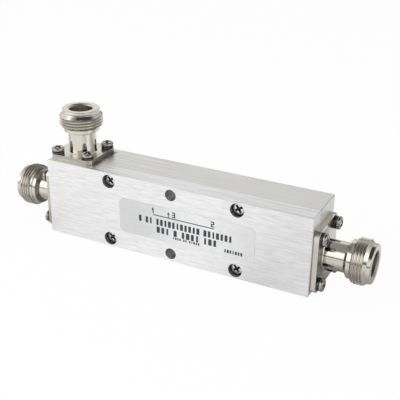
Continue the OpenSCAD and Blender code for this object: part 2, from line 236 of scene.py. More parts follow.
class CouplerLabelSettings(bpy.types.PropertyGroup):
    """Sizes of the label and its print"""

    corner: length("Corner", "Corner radius of the label", 2)
    foil: length("Foil", "Thickness of the label's foil under the ink", 0.13)
    edge: length("Edge", "Width of the label's soft edge", 0.04)
    stroke: length("Stroke", "Width of the printed lines", 0.4)
    digit: length("Digit", "Height of the port numbers", 1.7)
    large: length("Large row", "Height of the large printed rows", 2.4)
    small: length("Small row", "Height of the small printed rows", 0.9)


class CouplerFinishSettings(bpy.types.PropertyGroup):
    """Colours and gloss of the finishes"""

    cover: colour("Cover", "Brushed aluminium of the front plate", (0.91, 0.91, 0.91))
    housing: colour("Housing", "Fine machined aluminium of the back block", (0.79, 0.785, 0.775))
    nickel: colour("Nickel", "Bright plating of the jacks", (0.715, 0.685, 0.622))
    screw: colour("Screws", "Steel of the screws", (0.62, 0.61, 0.59))
    washer: colour("Washers", "Steel of the lock washers", (0.09, 0.086, 0.08))
    label: colour("Label", "Grey foil of the label", (0.683, 0.685, 0.69))
    ink: colour("Ink", "Ink of the print", (0.028, 0.028, 0.032))
    insulator: colour("Insulator", "White plastic of the beads and spacers", (0.87, 0.86, 0.83))
    gold: colour("Gold", "Plating of the centre contacts", (0.8, 0.64, 0.36))
    brass: colour("Brass", "Turned brass of the inner lines", (0.74, 0.57, 0.28))
    ceramic: colour("Ceramic", "Fired ceramic of the load", (0.83, 0.81, 0.77))
    cover_gloss: share("Cover roughness", "Roughness of the front plate", 0.42)
    housing_gloss: share("Housing roughness", "Roughness of the back block", 0.38)
    nickel_gloss: share("Nickel roughness", "Roughness of the plating", 0.1)


class CouplerStageSettings(bpy.types.PropertyGroup):
    """Camera, lamp and floor"""

    camera: FloatVectorProperty(
        name="Camera", description="Place of the camera", default=(0.11815, -0.22413, 0.13861), subtype="XYZ",
        unit="LENGTH", size=3,
    )
    azimuth: angle("Azimuth", "Turn of the view to the right", 26.563)
    elevation: angle("Elevation", "Tilt of the view downwards", 25.119)
    roll: angle("Roll", "Lean of the camera", 0.698)
    lens: FloatProperty(
        name="Lens", description="Focal length on a 36 mm sensor", default=71.1, subtype="DISTANCE_CAMERA"
    )
    floor: colour("Floor", "Colour of the floor", (0.9, 0.9, 0.9))
    key_power: FloatProperty(name="Key", description="Power of the front lamp", default=1.2, unit="POWER")
    sky: FloatProperty(name="Sky", description="Level of the surrounding light", default=0.75, min=0)


class CouplerSettings(bpy.types.PropertyGroup):
    """All settings of the coupler"""

    jack: PointerProperty(type=CouplerJackSettings)
    screw: PointerProperty(type=CouplerScrewSettings)
    label: PointerProperty(type=CouplerLabelSettings)
    finish: PointerProperty(type=CouplerFinishSettings)
    stage: PointerProperty(type=CouplerStageSettings)


# Shaders


def clamp(value):
    return min(1.0, max(0.0, value))


def ramp(value, low, high):
    """0 at low, 1 at high and a straight line between."""
    return clamp((value - low) / (high - low))


def tint(base, *levels):
    """A colour made lighter or darker, by one level or by one for each channel."""
    return tuple(clamp(channel * level) for channel, level in zip(base, levels if levels[1:] else levels * 3))


class Wire:
    """An output socket that takes part in Python arithmetic; each operation adds a Math node."""

    def __init__(self, shade, socket):
        self.shade = shade
        self.socket = socket

    def math(self, operation, *values):
        return self.shade.node("ShaderNodeMath", {"operation": operation}, dict(enumerate(values)))

    def __add__(self, other):
        return self.math("ADD", self, other)

    def __sub__(self, other):
        return self.math("SUBTRACT", self, other)

    def __rsub__(self, other):
        return self.math("SUBTRACT", other, self)

    def __mul__(self, other):
        return self.math("MULTIPLY", self, other)

    def __abs__(self):
        return self.math("ABSOLUTE", self)

    __radd__ = __add__
    __rmul__ = __mul__


class Shade:
    """A node tree that grows through one method."""

    def __init__(self, tree):
        self.tree = tree

    def node(self, kind, settings=None, sockets=None, out=0):
        """Adds a node: its settings first, then the values or links of its sockets. Returns one output."""
        made = self.tree.nodes.new(kind)
        for key, value in (settings or {}).items():
            setattr(made, key, value)
        for key, value in (sockets or {}).items():
            self.feed(made.inputs[key], value)
        return Wire(self, made.outputs[out])

    def feed(self, socket, value):
        if isinstance(value, Wire):
            self.tree.links.new(value.socket, socket)
        elif socket.type == "RGBA":
            socket.default_value = (*value, 1)
        else:
            socket.default_value = value

    def mix(self, factor, first, second):
        """A colour between two others."""
        return self.node("ShaderNodeMix", {"data_type": "RGBA"}, {0: factor, 6: first, 7: second}, 2)

    def smooth(self, value, low, high):
        """0 below low, 1 above high, and an even curve between."""
        return self.node(
            "ShaderNodeMapRange", {"interpolation_type": "SMOOTHSTEP"},
            {"Value": value, "From Min": low, "From Max": high},
        )

    def fade(self, value, low, high):
        """1 below low and 0 above high."""
        return 1 - self.smooth(value, low, high)

    def band(self, value, start, full, fade, end):
        """1 between full and fade, 0 before start and after end."""
        return self.smooth(value, start, full) * self.fade(value, fade, end)

    def vector(self, operation, *values, out=0):
        return self.node("ShaderNodeVectorMath", {"operation": operation}, dict(enumerate(values)), out)

    def axis(self, vector, name):
        return self.node("ShaderNodeSeparateXYZ", {}, {0: vector}, name)

    def length(self, vector):
        return self.vector("LENGTH", vector, out="Value")

    def place(self, scale):
        """The point on the surface in the piece's own frame, stretched by scale."""
        return self.vector("MULTIPLY", self.node("ShaderNodeTexCoord", out="Object"), Vector(scale))

    def here(self, name):
        """One coordinate of that point, not stretched."""
        return self.axis(self.node("ShaderNodeTexCoord", out="Object"), name)

    def facing(self, name):
        """How far the surface faces along an axis, from -1 to 1."""
        return self.axis(self.node("ShaderNodeNewGeometry", out="Normal"), name)

    def noise(self, scale, detail=3.0, rough=0.5, warp=0.0):
        return self.node(
            "ShaderNodeTexNoise", {},
            {"Vector": self.place(scale), "Scale": 1.0, "Detail": detail, "Roughness": rough, "Distortion": warp},
        )

    def spots(self, scale, detail, low, high, **noise):
        """Noise that is 0 below low and 1 above high."""
        return self.smooth(self.noise(scale, detail, **noise), low, high)

    def grade(self, value, low, high, base, dark, light):
        """A dark tint of a base colour where the value is low, a light one where it is high."""
        return self.mix(self.smooth(value, low, high), tint(base, dark), tint(base, light))

    def shade_and_dirt(self):
        """How much painted shade and dirt the mesh's points carry."""
        return self.node("ShaderNodeAttribute", {"attribute_name": "shade_and_dirt"}, out="Fac")

    def bump(self, height, strength, reach):
        return self.node("ShaderNodeBump", {}, {"Strength": strength, "Distance": reach, "Height": height})

    def near(self, x, z, radius):
        """1 inside four bores along Y, which lie at x and z either side of the bar's middle."""
        quarter = self.vector("ABSOLUTE", self.vector("SUBTRACT", self.place((1, 0, 1)), BAR_MIDDLE))
        away = self.vector("SUBTRACT", quarter, Vector((x, 0, z)))
        return self.fade(self.length(away), radius, radius + 6 * HAIR)

    def rays(self):
        """1 for rays from the camera or through glass, and 1 for rays that a glossy surface mirrors."""
        camera, glossy, through = (
            self.node("ShaderNodeLightPath", out=f"Is {ray} Ray") for ray in ("Camera", "Glossy", "Transmission")
        )
        return camera + through, glossy


def flange_shade(shade):
    """Painted shade on the bar's top along the coupled flange's right edge, and before the end flanges."""
    x, y, z = (shade.here(name) for name in "XYZ")
    half_x, half_y = (side / 2 for side in FLANGE_SIDES["coupled"])
    edge = middle_of("coupled_shell").x + half_x
    top = shade.smooth(z, BAR_HIGH.z - 0.2 * MM, BAR_HIGH.z - 0.1 * MM)
    top *= shade.band(x, edge - 0.8 * MM, edge - 0.4 * MM, edge + 0.4 * MM, edge + 2.1 * MM)
    top *= shade.fade(abs(y), half_y - 1.2 * MM, half_y)
    top *= shade.spots((700, 260, 700), 3, 0.2, 0.6)
    half_z, half_w = (side / 2 for side in FLANGE_SIDES["output"])
    ends = shade.smooth(abs(x), BAR_HIGH.x - 0.2 * MM, BAR_HIGH.x - 0.1 * MM)
    ends *= shade.band(y, -half_w - 1 * MM, -half_w - 0.4 * MM, 0.5 * MM - half_w, 1.5 * MM - half_w)
    ends *= shade.fade(abs(z - middle_of("output_shell").z), half_z - 1.2 * MM, half_z - 0.4 * MM)
    return top + ends * 0.6


def blank_material(name):
    """A new material, its tree and its one shader."""
    material = bpy.data.materials.new(name)
    material.use_nodes = True
    return material, Shade(material.node_tree), material.node_tree.nodes["Principled BSDF"]


def surface(metallic):
    """Turns a function that gives a finish's base colour, roughness and normal into one that makes the material."""

    def wrap(varying):
        def make(name, *settings, **levels):
            material, shade, shader = blank_material(name)
            shader.inputs["Metallic"].default_value = metallic
            for key, value in zip(("Base Color", "Roughness", "Normal"), varying(shade, *settings, **levels)):
                shade.feed(shader.inputs[key], value)
            return material

        return make

    return wrap


@surface(metallic=1.0)
def brushed_cover(shade, finish, screw):
    """Aluminium brushed along the bar: short uneven streaks, a few scratches, a lined top and dark screw bores.

    The top's lines also paint it lighter near the middle and darker towards the ends; the dark bores are painted shade.
    """
    metal = finish.cover
    fine = shade.noise((190, 3600, 4200), 2)
    streaks = shade.noise((150, 1900, 2200), 3, rough=0.6, warp=0.3)
    broad = shade.noise((45, 300, 520), 2)
    scratch = shade.spots((120, 1800, 2100), 1, 0.6, 0.67)
    glint = shade.spots((140, 2000, 2300), 1, 0.59, 0.66, warp=0.2)
    streak = fine * 0.2 + streaks * 0.6 + broad * 0.2
    base = shade.grade(streak, 0.4, 0.6, metal, 0.93, 1.05)
    base = shade.mix(scratch * 0.45, base, tint(metal, 0.8))
    base = shade.mix(glint * 0.6, base, tint(metal, 1.12))
    lines = shade.spots((30, 1100, 1100), 2, 0.4, 0.6, rough=0.6)
    # Light and dark lines on the top; their mix also paints the top lighter near the middle and darker towards the ends
    top = shade.smooth(shade.facing("Z"), 0.6, 0.8)
    right, left = shade.smooth(shade.here("X"), 0, 0.05), shade.fade(shade.here("X"), -0.03, 0.01)
    base = shade.mix(top * lines * (0.95 - right * 0.55), base, (1, 1, 1))
    base = shade.mix(top * (right * 0.7 + left * 0.9) * (1 - lines), base, tint(metal, 0.8))
    row = BAR_HIGH.z / 2 - screw.row_inset
    # Painted shade inside the four screw bores, which turns them nearly black
    bore = shade.near(screw.cover_span / 2, row, screw.cover_head_d / 2 + 22 * HAIR)
    base = shade.mix(bore * 0.78, base, tint(metal, 0.12))
    # Painted shade along the flanges' edges
    base = shade.mix(flange_shade(shade) * 0.8, base, FLANGE_SHADE_TONE)
    rough = finish.cover_gloss - 0.07 + streak * 0.14 + bore * 0.1
    return base, rough, shade.bump(streak - scratch * 0.4 + glint * 0.3, 0.14, 10 * HAIR)


@surface(metallic=1.0)
def milled_housing(shade, finish):
    """Machined aluminium: fine lines along the bar, coarser ones on its top, cross lines on its ends, dull stains."""
    metal = finish.housing
    end = shade.smooth(abs(shade.facing("X")), 0.6, 0.8)
    top = shade.smooth(shade.facing("Z"), 0.6, 0.8) * shade.fade(shade.here("X"), -0.03, 0.02)
    lines = shade.spots((40, 1000, 1000), 2, 0.4, 0.6, rough=0.6)
    grain = shade.noise((60, 2000, 2000), 2) * (1 - end) + shade.noise((2600, 60, 1100), 2) * end
    cloud = shade.noise((75, 75, 75), 4, rough=0.6)
    stain = shade.spots((170, 150, 160), 2, 0.58, 0.78, warp=0.4)
    base = shade.grade(grain, 0.3, 0.7, metal, 0.96, 1.03)
    base = shade.mix(shade.smooth(cloud, 0.35, 0.7) * 0.3, base, tint(metal, 0.92))
    base = shade.mix(stain * 0.2, base, tint(metal, 0.84))
    base = shade.mix(top * lines * 0.6, base, tint(metal, 1.16))
    base = shade.mix(top * (1 - lines) * 0.5, base, tint(metal, 0.84))
    # Painted shade along the flanges' edges
    base = shade.mix(flange_shade(shade) * 0.8, base, FLANGE_SHADE_TONE)
    rough = finish.housing_gloss - 0.06 + grain * 0.1 + cloud * 0.05
    return base, rough, shade.bump(grain, 0.1, 10 * HAIR)


@surface(metallic=1.0)
def bright_nickel(shade, finish, jack):
    """Bright plating over turned brass: faint turning rings, haze, warm tarnish and dark thread roots.

    The points' marks darken the plating with painted shade, and with dirt as well in the thread roots.
    """
    metal, rim = finish.nickel, jack.mouth_d / 2 + jack.mouth_break
    rings = shade.noise((30, 30, 9000), 1)
    haze = shade.noise((260, 260, 320), 4, rough=0.6)
    warm = shade.spots((120, 130, 110), 3, 0.35, 0.68, rough=0.55, warp=0.3)
    speck = shade.spots((1500, 1500, 1500), 2, 0.68, 0.76)
    shade_and_dirt = shade.shade_and_dirt()
    inside = shade.fade(shade.length(shade.place((1, 1, 0))), rim - 8 * HAIR, rim - 2 * HAIR)
    base = shade.mix(warm, metal, tint(metal, 0.97, 0.94, 0.89))
    base = shade.mix(speck * 0.3, base, tint(metal, 0.6))
    # Painted shade marked on the mesh's points, with dirt in the thread roots
    base = shade.mix(shade_and_dirt * 0.8, base, SHADE_AND_TARNISH_TONE)
    rough = finish.nickel_gloss - 0.03 + haze * 0.08 + speck * 0.12 + shade_and_dirt * 0.2 + inside * 0.2
    return base, rough, shade.bump(rings + speck * 0.3, 0.04, 5 * HAIR)


@surface(metallic=1.0)
def plated_steel(shade, metal, level):
    """Bright steel of the fasteners: mottled, with small dull pits and dirt in the recesses."""
    mottle = shade.noise((900, 900, 900), 4, rough=0.6)
    pits = shade.spots((2600, 2600, 2600), 2, 0.6, 0.72)
    shade_and_dirt = shade.shade_and_dirt()
    base = shade.grade(mottle, 0.3, 0.7, metal, 0.85, 1.15)
    base = shade.mix(pits * 0.4, base, tint(metal, 0.55))
    # Painted shade in the cross recess, on the head's edge and side and under the head
    base = shade.mix(shade_and_dirt * 0.9, base, SCREW_SHADE_TONE)
    rough = level - 0.05 + mottle * 0.08 + pits * 0.08 + shade_and_dirt * 0.25
    return base, rough, shade.bump(mottle - pits * 0.4, 0.2, 12 * HAIR)


@surface(metallic=0.55)
def grey_foil(shade, foil):
    """Matte metal foil of the label: fine grain along its length, a faint mottle, lighter right of its middle."""
    grain = shade.noise((160, 4200, 300), 2)
    mottle = shade.noise((240, 240, 240), 4, rough=0.6)
    x = shade.here("X")
    # Lighter from just left of the middle, a little less so towards the right end
    lighter_part = shade.smooth(x, -0.02, 0.004) * (1 - shade.smooth(x, 0.01, 0.026) * 0.4)
    base = shade.grade(grain, 0.3, 0.7, foil, 0.97, 1.03)
    base = shade.mix(lighter_part, base, tint(foil, 1.24))
    base = shade.mix(shade.smooth(mottle, 0.4, 0.7) * 0.3, base, tint(foil, 0.94))
    return base, 0.46 + mottle * 0.1, shade.bump(grain, 0.05, 5 * HAIR)


@surface(metallic=0.0)
def black_ink(shade, ink):
    """Screen-printed ink: slightly uneven, with a dull sheen."""
    patch = shade.noise((1300, 1300, 1300), 4, rough=0.6)
    base = shade.grade(patch, 0.3, 0.75, ink, 1, 1.9)
    return base, 0.5 + patch * 0.18, shade.bump(patch, 0.08, 2 * HAIR)


@surface(metallic=0.0)
def pressed_plastic(shade, plastic):
    """White fluoropolymer or ceramic: waxy, with turned lines and faint specks."""
    rings = shade.noise((300, 300, 4200), 2)
    speck = shade.spots((1800, 1800, 1800), 2, 0.66, 0.74)
    cloud = shade.noise((300, 300, 300), 3)
    base = shade.grade(cloud, 0.3, 0.7, plastic, 0.94, 1.03)
    base = shade.mix(speck * 0.3, base, tint(plastic, 0.75))
    return base, 0.38 + cloud * 0.14, shade.bump(rings, 0.1, 6 * HAIR)


@surface(metallic=1.0)
def turned_plating(shade, metal, level):
    """Gold plating or bare brass over turned metal: rings and a little tarnish."""
    rings = shade.noise((300, 300, 5200), 2)
    darkening = shade.noise((420, 420, 420), 4, rough=0.6)
    base = shade.mix(shade.smooth(darkening, 0.35, 0.75), metal, tint(metal, 0.86, 0.8, 0.72))
    return base, level + darkening * 0.14 + rings * 0.05, shade.bump(rings, 0.08, 5 * HAIR)


def dress(cad_node, material):
    slots = NODES[cad_node].data.materials
    slots.clear()
    slots.append(material)


# Meshes


def link(name, data):
    """Puts a new object into the scene."""
    made = bpy.data.objects.new(name, data)
    bpy.context.scene.collection.objects.link(made)
    return made


def finished_mesh(name, builder, material):
    mesh = bpy.data.meshes.new(name)
    builder.to_mesh(mesh)
    builder.free()
    mesh.materials.append(material)
    return mesh


def settle(name, builder, material, place, replaced, sharp=34):
    """Closes a bmesh into a piece that rides on the bar and stands for a CAD node. Edges over sharp degrees stay."""
    bmesh.ops.remove_doubles(builder, verts=builder.verts, dist=WELD)
    bmesh.ops.dissolve_degenerate(builder, edges=builder.edges, dist=WELD)
    bmesh.ops.recalc_face_normals(builder, faces=builder.faces)
    for face in builder.faces:
        face.smooth = True
    for edge in builder.edges:
        edge.smooth = len(edge.link_faces) == 2 and edge.calc_face_angle(pi) < radians(sharp)
    piece = link(name, finished_mesh(name, builder, material))
    piece.matrix_world = place
    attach(piece, "root")
    if replaced:
        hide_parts(replaced)


def shade_marked_mesh():
    """An empty mesh whose points carry how much painted shade and dirt they hold."""
    builder = bmesh.new()
    builder.verts.layers.float.new("shade_and_dirt")
    return builder


def turned(radius, angle, height):
    """A point at a distance from the Z axis and an angle round it."""
    return Vector((radius * cos(angle), radius * sin(angle), height))


def ring(builder, steps, radius, height):
    return [builder.verts.new(turned(radius, tau * k / steps, height)) for k in range(steps)]


def polar(builder, angles, reach, height, shadow=0.0):
    """A ring of points marked with painted shade. Its reach may follow the angle, and its height the reach."""
    verts, shade_and_dirt = [], builder.verts.layers.float["shade_and_dirt"]
    for angle in angles:
        radius = reach(angle) if callable(reach) else reach
        vert = builder.verts.new(turned(radius, angle, height(radius) if callable(height) else height))
        vert[shade_and_dirt] = shadow
        verts.append(vert)
    return verts


def loop(builder, points, height):
    return [builder.verts.new((x, y, height)) for x, y in points]


def skin(builder, loops):
    """Joins each loop of points to the next one."""
    for first, second in zip(loops, loops[1:]):
        for k, vert in enumerate(first):
            after = (k + 1) % len(first)
            builder.faces.new((vert, first[after], second[after], second[k]))


def fan(builder, verts, tip):
    for k, vert in enumerate(verts):
        builder.faces.new((tip, vert, verts[(k + 1) % len(verts)]))


def solid(builder, loops):
    """Joins the loops and closes both ends."""
    skin(builder, loops)
    builder.faces.new(loops[-1])
    builder.faces.new(loops[0][::-1])


def lathe(builder, steps, profile):
    """Turns (radius, height) points round Z. Returns the first and the last ring."""
    rings = [ring(builder, steps, radius, height) for radius, height in profile]
    skin(builder, rings)
    return rings[0], rings[-1]


def arc(centre, radius, start, end, count):
    """Points on an arc in the (radius, height) plane, angles in degrees."""
    angles = [radians(start + (end - start) * k / count) for k in range(count + 1)]
    return [(centre[0] + radius * cos(a), centre[1] + radius * sin(a)) for a in angles]


def cap(builder, loops):
    """Fills a flat face bounded by an outer loop and the loops of its holes."""
    edges = []
    for verts in loops:
        for k, vert in enumerate(verts):
            after = verts[(k + 1) % len(verts)]
            edges.append(builder.edges.get((vert, after)) or builder.edges.new((vert, after)))
    bmesh.ops.triangle_fill(builder, use_beauty=True, use_dissolve=False, edges=edges)


def cut_rectangle(sides, corner, soft):
    """Outline of a plate with its corners cut. Each of the eight points is two, a little way along its sides."""
    x, y = (side / 2 for side in sides)
    sharp = [
        (x - corner, -y), (x, corner - y), (x, y - corner), (x - corner, y), (corner - x, y), (-x, y - corner),
        (-x, corner - y), (corner - x, -y),
    ]
    points = []
    for k, point in enumerate(sharp):
        for other in (sharp[k - 1], sharp[(k + 1) % len(sharp)]):
            way = Vector(other) - Vector(point)
            points.append(tuple(Vector(point) + way.normalized() * soft))
    return points


def rounded_rectangle(width, height, radius, count=8):
    points = []
    for x, y, start in ((1, -1, 270), (1, 1, 0), (-1, 1, 90), (-1, -1, 180)):
        centre = (x * (width / 2 - radius), y * (height / 2 - radius))
        points += arc(centre, radius, start, start + 90, count)
    return points


def thread_grid(builder, jack, start, root_shade_and_dirt):
    """The coupling thread, whose first groove is at its front where it passes the start angle.

    Its rows follow the helix. Returns the height and the radius of its front ring, and the slope of the shoulder.
    """
    rows_per_turn, spare_turns = 16, 3
    # Shares of the pitch: half of the flat root, one flank and the run-out
    flat, flank_w, run_out = 0.1, 0.35, 0.3
    pitch, low, crest = jack.thread_pitch, jack.thread_s, jack.thread_d / 2
    slope = (crest - jack.nose_d / 2) / (jack.nose_s - jack.shoulder_s)
    high = jack.shoulder_s + jack.thread_depth / slope
    shade_and_dirt = builder.verts.layers.float["shade_and_dirt"]
    turns = int((high - low) / pitch) + spare_turns
    columns = []
    for k in range(jack.steps + 1):
        angle = tau * k / jack.steps
        column = []
        for row in range(turns * rows_per_turn):
            height = low + pitch * (row / rows_per_turn - spare_turns / 2 + k / jack.steps)
            height = min(high, max(low, height))
            shell = min(crest, crest - jack.thread_break + height - low, crest - slope * (height - jack.shoulder_s))
            along = (height - jack.groove_s) / pitch - (angle - start) / tau
            flank = clamp((abs(along - round(along)) - flat) / flank_w)
            depth = (1 - flank) * clamp((jack.shoulder_s + 30 * HAIR - height) / (pitch * run_out))
            vert = builder.verts.new(turned(min(shell, crest - jack.thread_depth * depth), angle, height))
            # Dirt and painted shade in the thread's roots, strongest where the groove is deepest
            vert[shade_and_dirt] = root_shade_and_dirt * depth ** 2
            column.append(vert)
        columns.append(column)
    for first, second in zip(columns, columns[1:]):
        for row in range(len(first) - 1):
            builder.faces.new((first[row], second[row], second[row + 1], first[row + 1]))
    return high, crest - slope * (high - jack.shoulder_s), slope


def shell_mesh(jack, sides, pitches, name):
    """A jack's body: flange with four holes, neck, collar, thread, nose and the bore, as one closed skin."""
    builder = shade_marked_mesh()
    shade_and_dirt, darkening = builder.verts.layers.float["shade_and_dirt"], SHADE_AND_TARNISH[name]
    neck, collar, nose, mouth, bore, hole_r = (
        getattr(jack, f"{key}_d") / 2 for key in ("neck", "collar", "nose", "mouth", "bore", "hole")
    )
    fillet, bend, soft, edge, top = (
        jack.neck_fillet, jack.collar_bend, jack.nose_break, jack.flange_break, jack.flange_t
    )
    cone_s = jack.neck_end + CONE_LATE.get(name, 0.0)
    cone = atan((collar - neck) / (jack.collar_s - cone_s))
    bend_s = cone_s - bend * tan(cone / 2)
    outer = [
        *arc((neck + fillet, top + fillet), fillet, 270, 180, 5),
        (neck, top + fillet + 10 * HAIR), (neck, bend_s - 10 * HAIR),
        *arc((neck + bend, bend_s), bend, 180, 180 - degrees(cone), 4),
        (collar - 12 * HAIR, jack.collar_s - 9 * HAIR), (collar - 3 * HAIR, jack.collar_s),
        (collar, jack.collar_s + 10 * HAIR), (collar, jack.thread_s - 5 * HAIR), (collar + 6 * HAIR, jack.thread_s),
        (jack.thread_d / 2 - jack.thread_break, jack.thread_s),
    ]
    root_ring, _ = lathe(builder, jack.steps, outer)
    # Painted shade on the cone behind the collar
    for vert in builder.verts:
        if bend_s + 2 * HAIR < vert.co.z < jack.collar_s - 5 * HAIR:
            vert[shade_and_dirt] = darkening.get("cone", 0.0)
    high, radius, slope = thread_grid(builder, jack, THREAD_STARTS[name], darkening["roots"])
    rim, lead = mouth + jack.mouth_break, SHELL_LENGTH - jack.mouth_lead
    inner = [
        (radius, high), (radius - slope * 10 * HAIR, high + 10 * HAIR),
        (nose + slope * 13 * HAIR, jack.nose_s - 13 * HAIR), (nose + 3 * HAIR, jack.nose_s - 3 * HAIR),
        (nose, jack.nose_s + 4 * HAIR),
        *arc((nose - soft, SHELL_LENGTH - soft), soft, 0, 90, 4),
        (rim + 4 * HAIR, SHELL_LENGTH), (rim - 3 * HAIR, SHELL_LENGTH - 4 * HAIR),
        (mouth + 6 * HAIR, lead + 5 * HAIR), (mouth, lead - 4 * HAIR), (mouth, lead - 20 * HAIR),
        (mouth, jack.seat_s), (bore, jack.seat_s), (bore, edge), (bore + edge, 0),
    ]
    _, back_ring = lathe(builder, jack.steps, inner)
    # Painted shade in the mouth and along the jack's upper side
    for vert in builder.verts:
        x, y, z = vert.co
        if hypot(x, y) < rim and z > jack.seat_s:
            vert[shade_and_dirt] = darkening.get("mouth", 0.0)
        if z > jack.collar_s:
            turn = degrees(atan2(-y, x))
            level = darkening.get("upper", 0.0) * ramp(turn, *UPPER_RISE) * ramp(turn, *UPPER_FALL)
            vert[shade_and_dirt] = max(vert[shade_and_dirt], level)
    small = cut_rectangle([side - 2 * edge for side in sides], jack.flange_corner - edge * 0.6, edge / 2)
    large = cut_rectangle(sides, jack.flange_corner, edge / 2)
    levels = ((small, 0), (large, edge), (large, top - edge), (small, top))
    rims = [loop(builder, points, height) for points, height in levels]
    skin(builder, rims)
    # Painted shade on the flange's sides
    for verts in rims[1:3]:
        for side, level in darkening["sides"].items():
            verts[2 * side + 1][shade_and_dirt] = verts[(2 * side + 2) % len(verts)][shade_and_dirt] = level
    # Painted shade on the front half of the flange's face
    face = darkening.get("face", 0.0)
    for vert in root_ring:
        vert[shade_and_dirt] = face * ramp(-vert.co.y, 0, FACE_FULL * neck)
    rims[3][-1][shade_and_dirt] = rims[3][0][shade_and_dirt] = face
    fronts, backs = [rims[3], root_ring], [rims[0], back_ring]
    hole = [(hole_r + edge, 0), (hole_r, edge), (hole_r, top - edge), (hole_r + edge, top)]
    for corner in CORNERS:
        low, high = lathe(builder, HOLE_STEPS, hole)
        for vert in builder.verts[-HOLE_STEPS * len(hole):]:
            vert.co.x += corner[0] * pitches[0] / 2
            vert.co.y += corner[1] * pitches[1] / 2
        # Painted shade round the screw holes on the flange's face
        for vert in high:
            vert[shade_and_dirt] = darkening["screws"].get(corner, 0.0)
        fronts.append(high)
        backs.append(low)
    cap(builder, fronts)
    cap(builder, backs)
    return builder


def cross_angles(half_l, half_w, count=12):
    """Angles round a cross recess, with its corners among them."""
    corner = atan(half_w / half_l)
    tips = [-corner, -corner / 2, 0, corner / 2, corner]
    sides = [corner + (pi / 2 - 2 * corner) * k / count for k in range(1, count)]
    return [quarter * pi / 2 + a for quarter in range(4) for a in tips + sides]


def cross_reach(angle, half_l, half_w):
    """Distance from the middle to the edge of a cross recess, its inner corners rounded a little."""
    turn = (angle + pi / 4) % (pi / 2) - pi / 4
    reach = half_l / cos(turn)
    if abs(turn) > 1e-9:
        reach = min(reach, half_w / abs(sin(turn)))
    return max(reach, half_w * 1.55) if reach < half_w * 1.6 else reach


def screw_mesh(builder, screw, kind, place):
    """A pan-head screw: domed head with a tapered cross recess, rounded rim and a threaded shank."""
    head_d, head_h, dome, bend, shank_l = (
        getattr(screw, f"{kind}_{key}") for key in ("head_d", "head_h", "dome", "round", "screw_l")
    )
    half_l, half_w, edge_shade = screw.cross_l / 2, screw.cross_w / 2, HEAD_EDGE_SHADE[kind]
    radius, side_top, floor = head_d / 2, head_h - dome, head_h - screw.cross_deep
    flat, rise = radius - bend, dome - bend * 0.75
    first_vert = len(builder.verts)

    def dome_height(r):
        return head_h - rise * (r / flat) ** 2

    def edge(a):
        return cross_reach(a, half_l, half_w)

    # From the recess outwards and down the side: reach, height and painted shade,
    # which is dark in the recess, on the head's edge and side, and under the head
    rows = [
        (lambda a: edge(a) * 0.16, floor - half_w * 0.4, 1),
        (lambda a: edge(a) * 0.66, floor, 1),
        (lambda a: edge(a) * 0.96, lambda r: dome_height(r) - 8 * HAIR, 0.9),
        (lambda a: edge(a) * 1.01 + 2 * HAIR, dome_height, 0.2),
        *((lambda a, p=part: edge(a) * (1 - p) + flat * p, dome_height, 0) for part in (0.12, 0.4, 0.7)),
        (flat, dome_height, edge_shade * 0.5),
        *((r, side_top + h, edge_shade) for r, h in arc((flat, -bend * 0.25), bend, 60, 0, 2)),
        (radius, bend * 0.6, edge_shade),
        (radius - bend * 0.4, 0, 0.9),
        (screw.shank_d / 2 + 12 * HAIR, 0, 0.9),
    ]
    angles = cross_angles(half_l, half_w)
    rings = [polar(builder, angles, *row) for row in rows]
    skin(builder, rings)
    # The recess's middle, all in painted shade
    fan(builder, rings[0], polar(builder, [0], 0, floor - half_w * 0.6, 1)[0])
    shank_rows(builder, screw, shank_l, rings[-1], angles)
    builder.verts.ensure_lookup_table()
    for vert in builder.verts[first_vert:]:
        vert.co = place @ vert.co


def shank_rows(builder, screw, shank_l, top_ring, angles):
    """A helical thread under a screw's head, run out at both ends, with a coned tip."""
    major, pitch, rows_per_turn = screw.shank_d / 2, screw.shank_pitch, 4
    # Shares of the pitch: the thread's depth, the plain part under the head, the tip and its further taper
    deep, plain, tip, taper = (part * pitch for part in (0.6, 0.8, 0.9, 0.2))
    rows = int((shank_l - plain - tip) / pitch * rows_per_turn)
    rings = [top_ring, polar(builder, angles, major, -12 * HAIR), polar(builder, angles, major, -plain)]
    for row in range(rows + 1):
        down = plain + (shank_l - plain - tip) * row / rows
        fade = min(1.0, row / rows_per_turn, (rows - row) / rows_per_turn)

        def reach(a):
            return major - deep * fade * abs(2 * ((down / pitch + a / tau) % 1) - 1)

        rings.append(polar(builder, angles, reach, -down))
    rings.append(polar(builder, angles, major - deep - taper, -shank_l))
    skin(builder, rings)
    fan(builder, rings[-1], builder.verts.new((0, 0, -shank_l)))


def washer_mesh(builder, screw, place):
    """A split lock washer: a bevelled ring cut on the slant, its ends sprung apart."""
    inner, outer = screw.washer_bore / 2, screw.washer_d / 2
    spring, bevel, count = 9 * HAIR, 7 * HAIR, 56
    body = screw.washer_t - spring
    section = [
        (inner + bevel, 0), (outer - bevel, 0), (outer, bevel), (outer, body - bevel), (outer - bevel, body),
        (inner + bevel, body), (inner, body - bevel), (inner, bevel),
    ]
    gap = screw.washer_split / (inner + outer)
    rows = []
    for k in range(count + 1):
        part = k / count
        points = (
            turned(radius, gap * (0.5 + height / body) + (tau - 2 * gap) * part, height + spring * part)
            for radius, height in section
        )
        rows.append([builder.verts.new(place @ point) for point in points])
    skin(builder, rows)
    builder.faces.new(rows[0])
    builder.faces.new(rows[-1][::-1])


def flange_pitches(name, screw):
    return [span - screw.flange_head_d for span in SCREW_SPANS[name]]


